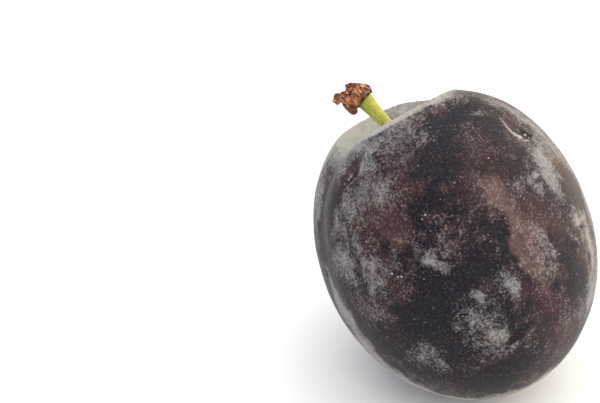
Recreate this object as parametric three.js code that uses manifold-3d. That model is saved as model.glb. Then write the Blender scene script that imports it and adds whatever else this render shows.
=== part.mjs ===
// A ripe purple plum, picked with its stalk, lying on a small flat spot of its own skin.
// It has three pieces: the fruit, the green stalk that stands in the fruit's hollow, and the dried
// bud scales that still cling to the stalk's free end.
//
// Millimetres, +Z up. The origin is the middle of the flat spot.
// The fruit and its stalk are shaped in the fruit's own frame and then leaned over as one:
// z runs from the middle of the fruit to its stalk end, x to the suture (the shallow groove down
// one side), and y round to a cheek. "Down" is an angle from the stalk end, "round" one from the suture.
import * as THREE from "three";
import { mergeVertices } from "three/addons/utils/BufferGeometryUtils.js";
import Module from "manifold-3d";

const wasm = await Module();
wasm.setup();

// ---- Driving dimensions ----

const FRUIT = {
  halfLength: 27.7, // from the middle to either end
  toSuture: 23.2, // half the width through the suture
  toCheek: 22.9, // half the width through the cheeks
  columns: 84, // facets round the fruit, closest together at the suture
  rows: 56, // facets from end to end, closest together at the stalk
  gather: { suture: 0.55, stalk: 0.35 }, // how strongly they close up there
};
// The hollow that the stalk stands in, an oval bowl with a rounded rim.
const HOLLOW = { depth: 8, alongSuture: 11.5, acrossIt: 10.5, offset: 0.5, roundness: 1.2 };
// The dip that the suture makes over the shoulders, and how far out it fades away.
const SADDLE = { depth: 2, halfWidth: 6, fadeFrom: 10, fadeTo: 22 };
// The suture's groove, which is full depth at the stalk end and shallower at the blossom end.
const SUTURE = { depth: 0.8, halfWidth: 2.2, blossomShare: 0.1, startX: 6 };
// The shoulders are uneven: each swelling is at (x, y) on the stalk end and rises or sinks by "rise".
const SWELLINGS = [
  { x: -9, y: -6, spread: 5, rise: -0.9 },
  { x: -7, y: 8, spread: 7, rise: 0.1 },
  { x: 12, y: -8, spread: 7, rise: 0.5 },
];
// Bruises and scars sunk into the skin: "down" and "round" in degrees, the other sizes in mm.
// "turn" swings the long side from the round-the-fruit direction towards the blossom end.
const DENTS = [
  { down: 33, round: 103, length: 5, width: 2.6, depth: 0.6, turn: -10 }, // thumb-sized dimple
  { down: 40, round: 29, length: 3.2, width: 2.2, depth: 0.5, turn: 50 }, // wrinkled scar
  { down: 51, round: 132, length: 3.4, width: 1.5, depth: 0.5, turn: 70 }, // long crease
];
const DENT_RADIUS = 25; // the fruit's mean radius, which turns angles between dents into mm
const PIT = { down: 56, round: 133, radius: 1.1, depth: 0.8 }; // hole at the end of the crease

const STALK = {
  foot: new THREE.Vector3(-0.5, 0, 16.9), // its middle, a little under the hollow's floor
  toward: new THREE.Vector3(0.353, -0.126, 0.927),
  length: 12.4,
  bow: 0.35, // how far its middle bends out of line
  radii: [1.36, 1.08, 0.98, 0.99, 1.07, 1.2, 1.37, 1.57], // evenly spaced from foot to free end
  sides: 20,
};
const CLEARANCE = 0.3; // gap between pieces that touch

// The tuft of dried bud scales, in a frame near the stalk's free end: z along the stalk, x to the
// side that the tuft leans to. A core fills its middle.
const TUFT = { overStalk: 0.5, across: 3.9, height: 4.2, centre: [0.25, 0, 1.7], columns: 18, rows: 12 };
// Each scale stands "round" the stalk, "reach" mm out and "lift" mm up, and leans out by "lean"
// degrees. The outer ones make a ragged collar that hangs lowest on the leaning side, and the inner
// ones close in over the top.
const SCALES = [
  { round: 10, reach: 2.8, lift: -0.1, lean: 4, width: 2.4, length: 2.7 },
  { round: 52, reach: 2.4, lift: 0.7, lean: 2, width: 2.2, length: 2.5 },
  { round: 96, reach: 1.9, lift: 1.0, lean: 0, width: 2.3, length: 2.4 },
  { round: 136, reach: 1.9, lift: 0.8, lean: -2, width: 2.1, length: 2.4 },
  { round: 176, reach: 1.9, lift: 0.4, lean: 4, width: 2.2, length: 2.4 },
  { round: 216, reach: 2.0, lift: 0.4, lean: -2, width: 2.1, length: 2.6 },
  { round: 257, reach: 2.1, lift: 0.5, lean: -2, width: 2.2, length: 2.6 },
  { round: 297, reach: 2.4, lift: 0.2, lean: 2, width: 2.2, length: 2.8 },
  { round: 338, reach: 2.8, lift: 0.0, lean: 4, width: 2.3, length: 2.9 },
  { round: 40, reach: 1.6, lift: 1.7, lean: -2, width: 2.0, length: 2.5 },
  { round: 112, reach: 0.9, lift: 1.8, lean: -4, width: 2.0, length: 2.4 },
  { round: 205, reach: 0.9, lift: 1.7, lean: -4, width: 2.0, length: 2.4 },
  { round: 296, reach: 1.3, lift: 1.9, lean: -2, width: 2.0, length: 2.4 },
];
const BLADE = { thickness: 0.95, curlIn: 0.1, cup: 0.16, columns: 12, rows: 9 };
// One scale has bent right away from the tuft and hooks back at its tip.
const HOOK = {
  round: -8,
  width: 1.1,
  thickness: 0.9,
  path: [[1.0, 3.4], [2.2, 4.3], [3.3, 4.1], [3.6, 3.1]],
  columns: 12,
  rows: 16,
};

// How the plum lies: its stalk end leans this far from upright, towards this heading, after a
// spin about its own axis. Its middle then stands here above the middle of the flat spot.
const LEAN = 40;
const HEADING = 134.1;
const SPIN = 77.4;
const MIDDLE = new THREE.Vector3(-3.2, 3.5, 24.93);
const FLOOR_BLOCK = 40; // the block that trims the flat spot, bigger than the fruit

const rad = THREE.MathUtils.degToRad;

// ---- Solids ----

// Turns a closed geometry into a manifold-3d solid, without the empty triangles at a lathe's poles.
function solid(geometry) {
  const bare = geometry.clone();
  bare.deleteAttribute("normal");
  bare.deleteAttribute("uv");
  const merged = mergeVertices(bare, 1e-4);
  const corners = [];
  const index = merged.index.array;
  for (let i = 0; i < index.length; i += 3) {
    const [a, b, c] = index.slice(i, i + 3);
    if (a !== b && b !== c && c !== a) corners.push(a, b, c);
  }
  return new wasm.Manifold(
    new wasm.Mesh({
      numProp: 3,
      vertProperties: merged.attributes.position.array,
      triVerts: new Uint32Array(corners),
    }),
  );
}

// Makes a named mesh of a manifold-3d solid.
function piece(name, shape, color, roughness) {
  const { vertProperties, triVerts } = shape.getMesh();
  const geometry = new THREE.BufferGeometry();
  geometry.setAttribute("position", new THREE.BufferAttribute(vertProperties, 3));
  geometry.setIndex(new THREE.BufferAttribute(triVerts, 1));
  geometry.computeVertexNormals();
  const material = new THREE.MeshStandardMaterial({ color, roughness, metalness: 0 });
  const mesh = new THREE.Mesh(geometry, material);
  mesh.name = name;
  return mesh;
}

// Moves every vertex of a geometry by a function that changes the point it is given.
function reshape(geometry, change) {
  const points = geometry.attributes.position;
  const point = new THREE.Vector3();
  for (let i = 0; i < points.count; i += 1) {
    change(point.fromBufferAttribute(points, i));
    points.setXYZ(i, point.x, point.y, point.z);
  }
  return geometry;
}

// ---- Fruit ----

// The direction from the fruit's middle at these angles, in degrees.
function direction(down, round) {
  const ring = Math.sin(rad(down));
  const x = ring * Math.cos(rad(round));
  const y = ring * Math.sin(rad(round));
  return new THREE.Vector3(x, y, Math.cos(rad(down)));
}

// How deep a dent is sunk in the skin along this direction.
function dentDepth(dent, toward) {
  const middle = direction(dent.down, dent.round);
  const alongRound = direction(90, dent.round + 90);
  const alongDown = direction(dent.down + 90, dent.round);
  const turn = rad(dent.turn);
  const away = toward.clone().sub(middle).multiplyScalar(DENT_RADIUS);
  const u = away.dot(alongRound);
  const v = away.dot(alongDown);
  const along = (u * Math.cos(turn) + v * Math.sin(turn)) / dent.length;
  const across = (v * Math.cos(turn) - u * Math.sin(turn)) / dent.width;
  return dent.depth * Math.exp(-(along ** 2) - across ** 2);
}

// Moves a point from the unit sphere out to the fruit's skin.
function toSkin(point) {
  const toward = point.clone();
  const { halfLength, toSuture, toCheek } = FRUIT;
  const reach = Math.hypot(point.x / toSuture, point.y / toCheek, point.z / halfLength);
  point.divideScalar(reach);
  const { x, y, z } = point;
  if (z > 0) {
    const outward = Math.hypot((x - HOLLOW.offset) / HOLLOW.alongSuture, y / HOLLOW.acrossIt);
    if (outward < 1) point.z -= HOLLOW.depth * (1 - outward ** 2) ** HOLLOW.roundness;
    const fade = 1 - THREE.MathUtils.smoothstep(Math.hypot(x, y), SADDLE.fadeFrom, SADDLE.fadeTo);
    point.z -= SADDLE.depth * fade * Math.exp(-((y / SADDLE.halfWidth) ** 2));
    for (const bump of SWELLINGS) {
      const far = Math.hypot(x - bump.x, y - bump.y) / bump.spread;
      point.z += bump.rise * Math.exp(-(far ** 2));
    }
  }
  const stalkShare = THREE.MathUtils.clamp((z / halfLength + 1) / 2, 0, 1);
  const share = SUTURE.blossomShare + (1 - SUTURE.blossomShare) * stalkShare;
  const groove = SUTURE.depth * share * Math.exp(-((y / SUTURE.halfWidth) ** 2));
  let sunk = groove * THREE.MathUtils.clamp(x / SUTURE.startX, 0, 1);
  for (const dent of DENTS) sunk += dentDepth(dent, toward);
  point.setLength(point.length() - sunk);
}

function fruitSolid() {
  const { columns, rows, gather } = FRUIT;
  const sphere = new THREE.SphereGeometry(1, columns, rows);
  // The sphere's poles are on Y: its rings and columns are gathered, and its pole goes to Z.
  reshape(sphere, (point) => {
    const down = Math.acos(THREE.MathUtils.clamp(point.y, -1, 1));
    const round = Math.atan2(point.z, point.x);
    const closerDown = down - gather.stalk * Math.sin(down);
    const closerRound = round - gather.suture * Math.sin(round);
    const ring = Math.sin(closerDown);
    point.set(ring * Math.cos(closerRound), -ring * Math.sin(closerRound), Math.cos(closerDown));
    toSkin(point);
  });
  return solid(sphere);
}

function pitSolid() {
  const at = direction(PIT.down, PIT.round);
  toSkin(at);
  const ball = new THREE.SphereGeometry(PIT.radius, 16, 10);
  ball.scale(1, 1, PIT.depth / PIT.radius);
  ball.lookAt(at.clone().normalize());
  ball.translate(at.x, at.y, at.z);
  return solid(ball);
}

// ---- Stalk ----

// A frame on the stalk's line, this far from its foot: z along the stalk, x towards the suture.
function stalkFrame(distance) {
  const z = STALK.toward.clone().normalize();
  const y = new THREE.Vector3().crossVectors(z, new THREE.Vector3(1, 0, 0)).normalize();
  const x = new THREE.Vector3().crossVectors(y, z);
  const origin = z.clone().multiplyScalar(distance).add(STALK.foot);
  return new THREE.Matrix4().makeBasis(x, y, z).setPosition(origin);
}

// The stalk, grown by "extra" on every side to cut the sockets that it stands in.
function stalkSolid(extra = 0) {
  const last = STALK.radii.length - 1;
  const height = STALK.length + 2 * extra;
  const side = STALK.radii.map(
    (radius, i) => new THREE.Vector2(radius + extra, (i / last) * height - extra),
  );
  const profile = [new THREE.Vector2(0, side[0].y), ...side, new THREE.Vector2(0, side[last].y)];
  const lathe = new THREE.LatheGeometry(profile, STALK.sides);
  lathe.rotateX(Math.PI / 2);
  reshape(lathe, (point) => {
    const share = point.z / STALK.length;
    point.x += STALK.bow * 4 * share * (1 - share);
  });
  lathe.applyMatrix4(stalkFrame(0));
  return solid(lathe);
}

// ---- Bud scales ----

// One dried scale: a thick, pointed oval that starts at the origin, stands up along z and curls
// back over the tuft, away from x.
function bladeGeometry({ width, length }) {
  const blade = new THREE.SphereGeometry(1, BLADE.columns, BLADE.rows);
  return reshape(blade, (point) => {
    const height = ((1 + point.y) / 2) * length;
    const across = (point.z * width) / 2;
    const through = (point.x * BLADE.thickness) / 2;
    point.set(through - BLADE.curlIn * height ** 2 - BLADE.cup * across ** 2, -across, height);
  });
}

// The bent scale: a pointed oval drawn out along its hooked middle line.
function hookGeometry() {
  const middle = new THREE.CatmullRomCurve3(HOOK.path.map(([x, z]) => new THREE.Vector3(x, 0, z)));
  const hook = new THREE.SphereGeometry(1, HOOK.columns, HOOK.rows);
  return reshape(hook, (point) => {
    const share = (1 + point.y) / 2;
    const at = middle.getPoint(share);
    const along = middle.getTangent(share);
    const through = (point.x * HOOK.thickness) / 2;
    point.set(at.x + along.z * through, (-point.z * HOOK.width) / 2, at.z - along.x * through);
  });
}

function tuftSolid() {
  const core = new THREE.SphereGeometry(0.5, TUFT.columns, TUFT.rows);
  core.rotateX(Math.PI / 2);
  core.scale(TUFT.across, TUFT.across, TUFT.height);
  core.translate(...TUFT.centre);
  let tuft = solid(core).add(solid(hookGeometry().rotateZ(rad(HOOK.round))));
  for (const scale of SCALES) {
    const blade = bladeGeometry(scale);
    blade.rotateY(rad(scale.lean));
    blade.translate(scale.reach, 0, scale.lift);
    blade.rotateZ(rad(scale.round));
    tuft = tuft.add(solid(blade));
  }
  return tuft.transform(stalkFrame(STALK.length - TUFT.overStalk).elements);
}

// ---- The plum ----

const plum = new THREE.Group();
plum.name = "plum";

// The pose turns the fruit's own frame into the part's.
const pose = new THREE.Matrix4()
  .makeRotationZ(rad(HEADING))
  .multiply(new THREE.Matrix4().makeRotationY(rad(LEAN)))
  .multiply(new THREE.Matrix4().makeRotationZ(rad(SPIN)))
  .setPosition(MIDDLE);

const floorBlock = new THREE.BoxGeometry(2 * FLOOR_BLOCK, 2 * FLOOR_BLOCK, FLOOR_BLOCK);
floorBlock.translate(0, 0, -FLOOR_BLOCK / 2);

const socket = stalkSolid(CLEARANCE);
const fruit = fruitSolid()
  .subtract(pitSolid())
  .subtract(socket)
  .transform(pose.elements)
  .subtract(solid(floorBlock));
const stalk = stalkSolid().transform(pose.elements);
const tuft = tuftSolid().subtract(socket).transform(pose.elements);

plum.add(
  piece("fruit", fruit, 0x443e42, 0.42),
  piece("stem", stalk, 0xc6c25b, 0.55),
  piece("bud_scales", tuft, 0x9c673f, 0.8),
);

export default plum;
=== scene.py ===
# %% [markdown]
# # A ripe purple plum
# A plum picked with its stalk has three things to show: the dark fruit under its dusting of wax, the
# fresh green stalk in the hollow at its top, and the dried bud scales left on the stalk's end.
# The engineering model is loaded first. It fixes every size and place, and the pieces below are
# finer versions of its solids.

# %% Load the fixed frame
import math
from functools import partial

import bpy
import numpy as np
from mathutils import Euler, Matrix, Vector


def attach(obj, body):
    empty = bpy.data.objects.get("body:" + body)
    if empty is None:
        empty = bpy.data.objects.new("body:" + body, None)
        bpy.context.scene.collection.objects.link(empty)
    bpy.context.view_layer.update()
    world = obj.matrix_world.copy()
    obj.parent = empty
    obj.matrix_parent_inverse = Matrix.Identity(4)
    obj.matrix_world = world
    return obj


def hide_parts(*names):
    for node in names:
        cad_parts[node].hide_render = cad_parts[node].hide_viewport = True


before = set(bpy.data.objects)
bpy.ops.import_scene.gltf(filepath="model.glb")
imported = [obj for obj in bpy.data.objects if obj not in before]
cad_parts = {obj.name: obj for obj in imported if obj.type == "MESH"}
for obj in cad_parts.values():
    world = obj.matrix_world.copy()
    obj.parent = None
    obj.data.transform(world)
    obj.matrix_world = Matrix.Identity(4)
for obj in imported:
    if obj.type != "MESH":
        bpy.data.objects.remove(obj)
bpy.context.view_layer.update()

MM = 0.001  # sizes are written in millimetres times this, because the scene is in metres
scene = bpy.context.scene

# %% [markdown]
# Colours are written as the sRGB hex codes that a paint chart gives. Blender's sockets hold linear
# light, so one function turns them. One other function adds a node. Its values fill the node's live
# inputs in order, "named" fills inputs by name, and a node given as a value stands for its output.
# A noise takes a place, its repeats in a metre, its detail and its roughness.

# %% Helpers for colours and nodes
KINDS = {  # short names for the kinds of node that are used most
    "combine": "ShaderNodeCombineXYZ", "separate": "ShaderNodeSeparateXYZ",
    "noise": "ShaderNodeTexNoise", "mix": "ShaderNodeMix", "mapping": "ShaderNodeMapping",
    "range": "ShaderNodeMapRange", "smooth range": "ShaderNodeMapRange",
    "attribute": "ShaderNodeAttribute", "position": "GeometryNodeInputPosition",
    "store": "GeometryNodeStoreNamedAttribute", "store vector": "GeometryNodeStoreNamedAttribute",
    "move": "GeometryNodeSetPosition", "transform": "GeometryNodeTransform",
}
SETTINGS = {  # what some of them are always set to here
    "mix": {"data_type": "RGBA"},
    "smooth range": {"interpolation_type": "SMOOTHSTEP"},
    "mapping": {"vector_type": "TEXTURE"},
    "store vector": {"data_type": "FLOAT_VECTOR"},
}
SIGNS = {  # a math node goes by its sign, and one for vectors has the word vector before it
    "+": "ADD", "-": "SUBTRACT", "*": "MULTIPLY", "/": "DIVIDE", "**": "POWER", "*+": "MULTIPLY_ADD",
    ">": "GREATER_THAN", "max": "MAXIMUM", "abs": "ABSOLUTE", "dot": "DOT_PRODUCT", "scale": "SCALE",
    "length": "LENGTH", "distance": "DISTANCE", "normalize": "NORMALIZE", "tangent": "TANGENT",
}


def linear(code):
    parts = [int(code[i:i + 2], 16) / 255 for i in (1, 3, 5)]
    return [p / 12.92 if p <= 0.04045 else ((p + 0.055) / 1.055) ** 2.4 for p in parts] + [1.0]


def result(node):
    """A node's live output. Some nodes have one for each kind of data."""
    return next(output for output in node.outputs if output.enabled)


def add(tree, kind, *values, named=None, **settings):
    family, _, sign = kind.rpartition(" ")
    if sign in SIGNS:
        settings["operation"] = SIGNS[sign]
        kind = "ShaderNodeVectorMath" if family else "ShaderNodeMath"
    node = tree.nodes.new(KINDS.get(kind, kind))
    for name, setting in (SETTINGS.get(kind, {}) | settings).items():
        setattr(node, name, setting)
    live = [socket for socket in node.inputs if socket.enabled]
    pairs = list(zip(live, values))
    pairs += [(node.inputs[name], value) for name, value in (named or {}).items()]
    for socket, value in pairs:
        if value is None:
            continue
        if isinstance(value, bpy.types.Node):
            value = result(value)
        if isinstance(value, bpy.types.NodeSocket):
            tree.links.new(value, socket)
        else:
            socket.default_value = value
    return node


print("middle grey is", round(linear("#808080")[0], 3), "in linear light")

# %% [markdown]
# The fruit lies tilted. It is easiest to think of it in a frame of its own: z towards the stalk, x
# towards the suture, which is the shallow groove down one side, and y round to a cheek. A place on
# the skin is then two angles, "down" from the stalk and "round" from the suture. The matrix below
# leans that frame over and lifts it, just as the engineering model does.

# %% How the plum lies
LEAN = math.radians(40)
HEADING = math.radians(134.1)
SPIN = math.radians(77.4)
MIDDLE = Vector((-3.2, 3.5, 24.93)) * MM

turned = Matrix.Rotation(HEADING, 4, "Z") @ Matrix.Rotation(LEAN, 4, "Y") @ Matrix.Rotation(SPIN, 4, "Z")
pose = Matrix.Translation(MIDDLE) @ turned
print("stalk end points to", [round(v, 2) for v in turned.col[2][:3]])


def skin_frame(down, round_, turn=0):
    """The direction of a place on the skin, and the directions of a mark's long and short sides there."""
    a, b, t = map(math.radians, (down, round_, turn))
    middle = np.array([math.sin(a) * math.cos(b), math.sin(a) * math.sin(b), math.cos(a)])
    along_round = np.array([-math.sin(b), math.cos(b), 0])
    along_down = np.array([math.cos(a) * math.cos(b), math.cos(a) * math.sin(b), -math.sin(a)])
    long_side = along_round * math.cos(t) + along_down * math.sin(t)
    short_side = along_down * math.cos(t) - along_round * math.sin(t)
    return middle, long_side, short_side


# %% [markdown]
# The camera stands where a person leaning over a table would hold it, 48 cm away and 40 degrees up,
# with a long lens, so the fruit is hardly distorted. The fruit fills the right of the frame.

# %% Camera
CAMERA_AWAY = Vector((0, -367.7, 308.5)) * MM
AIM_LEFT = math.radians(4.106)
AIM_DOWN = math.radians(39.26)
SENSOR_WIDTH, FOCAL_LENGTH = 36, 169.7  # in millimetres, as lenses are sold

lens = bpy.data.cameras.new("Camera")
lens.sensor_width = SENSOR_WIDTH
lens.lens = FOCAL_LENGTH
camera = bpy.data.objects.new("Camera", lens)
camera.location = MIDDLE + CAMERA_AWAY
camera.rotation_euler = (math.pi / 2 - AIM_DOWN, 0, AIM_LEFT)
scene.collection.objects.link(camera)
scene.camera = camera
print("camera distance, mm:", round(CAMERA_AWAY.length / MM))

# %% [markdown]
# Plum skin has a dull shine, so a small lamp would leave a hard spot on it and a row of narrow ones
# would streak it. The light comes from four big soft boxes instead. The room behind them is dimmer
# and cooler on the left and brighter and warmer on the right, as it is beside a window.

# %% Soft light
LIGHTS = {  # where each box stands and its sides, in metres, its watts and its tint
    "Overhead": ((-0.1, 0.35, 1.0), (1.6, 1.4), 8.4, "#ffffff"),
    "Left": ((-1.1, 0.2, 0.5), (1.6, 0.9), 0.7, "#d6e4ff"),
    "Right": ((1.1, 0.4, 0.5), (1.6, 0.9), 7.7, "#fff3e2"),
    "Front": ((0.35, -1.0, 0.5), (1.6, 0.9), 1.7, "#ffffff"),
}
ROOM_LIGHT = 0.5, 1.65  # how bright the room is to the left and to the right
ROOM_TINT = "#ecf1ff", "#fffaf2"
TINT_REACH = 0.6  # the tint turns within this of the middle, where 1 is straight to the side

for name, (place, sides, watts, tint) in LIGHTS.items():
    lamp = bpy.data.lights.new(name, "AREA")
    lamp.shape = "RECTANGLE"
    lamp.size, lamp.size_y = sides
    lamp.energy = watts
    lamp.color = linear(tint)[:3]
    box = bpy.data.objects.new(name, lamp)
    box.location = place
    box.rotation_euler = (MIDDLE - box.location).to_track_quat("-Z", "Y").to_euler()
    scene.collection.objects.link(box)

world = bpy.data.worlds.new("Studio")
world.use_nodes = True
sky = world.node_tree
sideways = add(sky, "separate", add(sky, "ShaderNodeTexCoord")).outputs[0]
strength = add(sky, "range", sideways, -1.0, 1.0, *ROOM_LIGHT)
share = add(sky, "range", sideways, -TINT_REACH, TINT_REACH, 0.0, 1.0)
tint = add(sky, "mix", share, *map(linear, ROOM_TINT))
for name, value in (("Color", tint), ("Strength", strength)):
    sky.links.new(result(value), sky.nodes["Background"].inputs[name])
scene.world = world
scene.view_settings.view_transform = "Standard"
print(len(LIGHTS), "soft boxes")

# %% [markdown]
# The floor is a sheet of white card, big enough to fill every view. It is matt, so it shows no
# reflection, only the soft shadow of the fruit.

# %% Floor
FLOOR_HALF = 4.0
CARD = {"Base Color": linear("#f8f7f5"), "Roughness": 0.9, "Specular IOR Level": 0.2}

corners = [(x * FLOOR_HALF, y * FLOOR_HALF, 0) for x, y in ((-1, -1), (1, -1), (1, 1), (-1, 1))]
card = bpy.data.meshes.new("floor")
card.from_pydata(corners, [], [(0, 1, 2, 3)])
floor = bpy.data.objects.new("floor", card)
scene.collection.objects.link(floor)
white_card = bpy.data.materials.new("White card")
white_card.use_nodes = True
for name, value in CARD.items():
    white_card.node_tree.nodes["Principled BSDF"].inputs[name].default_value = value
card.materials.append(white_card)
print("floor", 2 * FLOOR_HALF, "m square")

# %% [markdown]
# The shapes below follow rules, which Geometry Nodes work out. Their trees start alike, with a named
# input for each size, and end alike: shading is made smooth, instances become real geometry, and the
# material is set. The materials start and end alike too. Many rules need a bell, which is 1 in a
# mark's middle and falls off smoothly, and many shapes and colours need a noise to push them about.

# %% Helpers for trees and materials
FALL = 1 / math.e  # raised to a squared distance, it makes a smooth bell


def start_tree(name, sizes, *shapes):
    """An empty tree, the function that adds nodes to it, and its inputs."""
    tree = bpy.data.node_groups.new(name, "GeometryNodeTree")
    tree.interface.new_socket("Geometry", in_out="OUTPUT", socket_type="NodeSocketGeometry")
    for shape in shapes:
        tree.interface.new_socket(shape, in_out="INPUT", socket_type="NodeSocketGeometry")
    for size, value in sizes.items():
        socket = tree.interface.new_socket(size, in_out="INPUT", socket_type="NodeSocketFloat")
        socket.default_value = value
    node = partial(add, tree)
    return tree, node, node("NodeGroupInput").outputs


def end_tree(node, shape, material):
    smooth = node("GeometryNodeSetShadeSmooth", shape)
    real = node("GeometryNodeRealizeInstances", smooth)
    node("NodeGroupOutput", node("GeometryNodeSetMaterial", real, None, material))


def start_material(name, codes):
    """A material with an empty tree, the function that adds nodes to it, and its colours."""
    material = bpy.data.materials.new(name)
    material.use_nodes = True
    material.node_tree.nodes.clear()
    return material, partial(add, material.node_tree), {key: linear(code) for key, code in codes.items()}


def end_material(node, **sockets):
    """Socket names hold spaces, which are underscores here."""
    named = {name.replace("_", " "): value for name, value in sockets.items()}
    node("ShaderNodeOutputMaterial", node("ShaderNodeBsdfPrincipled", named=named))


def layered(node, colour, base, layers):
    """Colours laid over a base, each growing to its most as its pattern goes from start to full."""
    mixed = colour[base]
    for name, pattern, start, full, most in layers:
        mixed = node("mix", node("range", pattern, start, full, 0.0, most), mixed, colour[name])
    return mixed


def bell(node, offset):
    return node("**", FALL, node("vector dot", offset, offset))


def push(node, noise, amount):
    """A noise's colour as a push, up to half this amount either way along each axis."""
    return node("vector scale", node("vector -", noise.outputs["Color"], (0.5,) * 3), amount)


# %% [markdown]
# ## The fruit
# A plum is an egg-like body with a bowl sunk in its stalk end, a dip where the suture crosses the
# shoulders, and the suture's groove down one side. It could be sculpted, but each of those features
# is a simple rule of where you are on the skin. So Geometry Nodes push the points of a finely cut
# cube out to the skin, and sink the hollow, the groove and the dents.

# %% Sizes of the fruit
FRUIT = {
    "Half length": 27.7 * MM,
    "To suture": 23.2 * MM,
    "To cheek": 22.9 * MM,
    "Hollow depth": 8 * MM,
    "Hollow along suture": 11.5 * MM,
    "Hollow across": 10.5 * MM,
    "Hollow offset": 0.5 * MM,
    "Hollow roundness": 1.2,
    "Saddle depth": 2 * MM,
    "Saddle half width": 6 * MM,
    "Saddle fades from": 10 * MM,
    "Saddle fades to": 22 * MM,
    "Groove depth": 0.5 * MM,
    "Groove half width": 2.5 * MM,
    "Groove starts": 6 * MM,
    "Lump size": 7 * MM,
    "Lump height": 0.35 * MM,
}
BLOSSOM_SHARE = 0.1  # how much of the groove's depth is left at the blossom end
SWELLINGS = [  # places on the stalk end that rise or sink: x, y, spread and rise
    (-9 * MM, -6 * MM, 5 * MM, -0.9 * MM),
    (-7 * MM, 8 * MM, 7 * MM, 0.1 * MM),
    (12 * MM, -8 * MM, 7 * MM, 0.5 * MM),
]
CUTS = 121  # points along each edge of the starting cube, about a third of a millimetre apart on the skin
MEAN_RADIUS = 25 * MM  # turns the angle between two places on the skin into a distance

# Dents: down, round, long and short half sizes, depth in millimetres, and the turn of the long side
# from the round-the-fruit direction. A negative depth is a raised lip.
DENTS = [
    (33, 103, 5, 2.6, 0.6, -10),  # shallow dimple on the shoulder
    (40, 29, 3.2, 2.2, 0.5, 50),  # wrinkled scar
    (51, 132, 3.4, 1.5, 0.5, 70),  # long crease above the pit
    (56.5, 130.5, 1.4, 0.8, 0.4, 65),  # the pit, deepest in its middle
    (58.3, 132.5, 0.9, 0.7, 0.25, 30),
    (50, 125.3, 1.9, 0.5, -0.12, 112),  # its pale lip
    (56, 124.6, 1.6, 0.5, -0.12, 75),
    (103, 134, 3.2, 0.5, 0.25, 16),  # short cut on the right cheek
    (130, 76, 2.4, 0.6, 0.35, 153),  # slash low on the cheek
    (42.4, 28.6, 1.6, 0.5, 0.2, -40),  # wrinkle in the scar
    (40.9, 35.5, 1.4, 0.5, -0.12, 124),  # ridge beside it
]
print(len(DENTS), "dents,", 6 * (CUTS - 1) ** 2, "faces to start from")


def mark_axes(down, round_, long_half, short_half, turn):
    """A mark's middle and its long and short axes. An offset's dot with an axis counts half sizes."""
    middle, long_side, short_side = skin_frame(down, round_, turn)
    return middle, long_side * MEAN_RADIUS / (long_half * MM), short_side * MEAN_RADIUS / (short_half * MM)


# %% The body and its stalk end
def plain_body(node, size):
    """A finely cut cube, the direction of each of its points, and where that direction meets the body."""
    cube = node("GeometryNodeMeshCube", (2, 2, 2), CUTS, CUTS, CUTS)
    # The cube's faces are warped by a tangent, so that its cuts crowd less at the corners.
    eighth_turn = node("vector *", node("position"), (math.pi / 4,) * 3)
    toward = node("vector normalize", node("vector tangent", eighth_turn))
    radii = node("combine", size["To suture"], size["To cheek"], size["Half length"])
    stretch = node("vector length", node("vector /", toward, radii))
    return cube, toward, node("vector scale", toward, node("/", 1.0, stretch))


def sunk_end(node, size, x, y):
    """How far the stalk end sinks: into the hollow, the saddle and the swellings."""
    # The hollow's bowl is deepest in its middle and ends at its rim.
    along = node("/", node("-", x, size["Hollow offset"]), size["Hollow along suture"])
    out = node("combine", along, node("/", y, size["Hollow across"]))
    inside = node("-", 1.0, node("vector dot", out, out), use_clamp=True)
    hollow = node("*", node("**", inside, size["Hollow roundness"]), size["Hollow depth"])

    # The saddle follows the suture over the shoulders and fades down the sides.
    level = node("combine", x, y)
    fade = node("smooth range", node("vector length", level), size["Saddle fades from"],
                size["Saddle fades to"], 1.0, 0.0)
    aside = node("combine", node("/", y, size["Saddle half width"]))
    saddle = node("*", node("*", bell(node, aside), fade), size["Saddle depth"])
    sunk = node("+", hollow, saddle)
    for bump_x, bump_y, reach_out, rise in SWELLINGS:
        away = node("vector scale", node("vector -", level, (bump_x, bump_y, 0)), 1 / reach_out)
        sunk = node("*+", bell(node, away), -rise, sunk)
    return sunk


# %% The groove, the dents and the lumps
def pressed_skin(node, size, toward, body, x, y, z):
    """How far the skin is pressed in along the suture, at the dents and between soft lumps."""
    # The suture's groove runs down the x side and gets shallower towards the blossom end.
    aside = node("combine", node("/", y, size["Groove half width"]))
    side = node("range", x, 0.0, size["Groove starts"], 0.0, 1.0)
    back = node("*", size["Half length"], -1.0)
    ends = node("range", z, back, size["Half length"], BLOSSOM_SHARE, 1.0)
    groove = node("*", node("*", bell(node, aside), side), ends)
    pressed = node("*", groove, size["Groove depth"])

    for *place, depth, turn in DENTS:
        middle, long_axis, short_axis = mark_axes(*place, turn)
        away = node("vector -", toward, tuple(middle))
        u = node("vector dot", away, tuple(long_axis))
        v = node("vector dot", away, tuple(short_axis))
        pressed = node("*+", bell(node, node("combine", u, v)), depth * MM, pressed)

    # Soft lumps keep the skin from looking turned on a lathe.
    lumps = node("noise", body, node("/", 1.0, size["Lump size"]), 1.0, 0.4)
    return node("*+", node("+", lumps, -0.5), size["Lump height"], pressed)


# %% [markdown]
# The marks on the skin are painted later, by direction. Real marks have ragged edges, so each point
# also keeps a second direction that strays a little from its own. Last the fruit is leaned over, and
# every point below the surface it rests on is lifted to it, which makes the flat spot.

# %% Node tree for the fruit
STRAY = 0.35  # the widest swing of a mark's edge, as a share of the fruit's radius
STRAY_SIZE = 4 * MM  # how far apart the edge's bays and points are


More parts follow.
